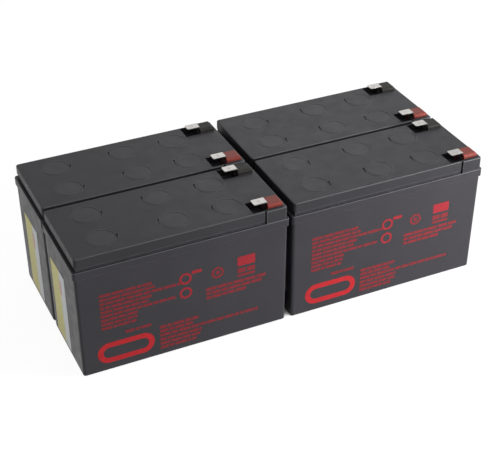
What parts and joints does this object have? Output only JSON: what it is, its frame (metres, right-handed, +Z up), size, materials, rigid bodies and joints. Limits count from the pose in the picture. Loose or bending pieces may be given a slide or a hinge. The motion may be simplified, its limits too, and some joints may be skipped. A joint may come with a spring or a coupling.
{
  "type": "ups battery cartridge",
  "caption": "Block of sealed lead-acid batteries bonded side by side as one replaceable cartridge for an uninterruptible power supply, with flat tab terminals, round vent covers and end labels.",
  "frame": {"origin": "centre of the block on the surface that it stands on", "axes": "+X along the long side of the block, -Y out of the printed front faces, +Z up"},
  "size_m": [0.304, 0.131, 0.098],
  "materials": {
    "case_plastic": "fine moulded grain",
    "lid_plastic": "fine moulded grain",
    "cover_plastic": "fine moulded grain",
    "valve_rubber": "smooth",
    "tinned_tab": "bright tin plating",
    "red_seal": "cast resin",
    "dark_seal": "cast resin",
    "glass_mat": "felted glass fibre",
    "lead_plate": "pasted lead",
    "cast_lead": "cast lead",
    "label_paper": "matt paper",
    "foam_tape": "closed-cell foam",
    "print_ink": "screen-printed ink"
  },
  "bodies": {
    "root": {"front_left_case": "case_plastic", "front_left_lid": "lid_plastic", "front_left_valve_pads": "valve_rubber", "front_left_positive_terminal": "tinned_tab", "front_left_negative_terminal": "tinned_tab", "front_left_positive_seal": "red_seal", "front_left_negative_seal": "dark_seal", "front_left_positive_plates": "glass_mat", "front_left_negative_plates": "lead_plate", "front_left_cell_straps": "cast_lead", "front_left_end_label": "label_paper", "front_right_case": "case_plastic", "front_right_lid": "lid_plastic", "front_right_valve_pads": "valve_rubber", "front_right_positive_terminal": "tinned_tab", "front_right_negative_terminal": "tinned_tab", "front_right_positive_seal": "red_seal", "front_right_negative_seal": "dark_seal", "front_right_positive_plates": "glass_mat", "front_right_negative_plates": "lead_plate", "front_right_cell_straps": "cast_lead", "front_right_end_label": "label_paper", "rear_left_case": "case_plastic", "rear_left_lid": "lid_plastic", "rear_left_valve_pads": "valve_rubber", "rear_left_positive_terminal": "tinned_tab", "rear_left_negative_terminal": "tinned_tab", "rear_left_positive_seal": "red_seal", "rear_left_negative_seal": "dark_seal", "rear_left_positive_plates": "glass_mat", "rear_left_negative_plates": "lead_plate", "rear_left_cell_straps": "cast_lead", "rear_left_end_label": "label_paper", "rear_right_case": "case_plastic", "rear_right_lid": "lid_plastic", "rear_right_valve_pads": "valve_rubber", "rear_right_positive_terminal": "tinned_tab", "rear_right_negative_terminal": "tinned_tab", "rear_right_positive_seal": "red_seal", "rear_right_negative_seal": "dark_seal", "rear_right_positive_plates": "glass_mat", "rear_right_negative_plates": "lead_plate", "rear_right_cell_straps": "cast_lead", "rear_right_end_label": "label_paper", "vent_covers": "cover_plastic", "row_tapes": "foam_tape", "column_tapes": "foam_tape"}
  },
  "joints": []
}
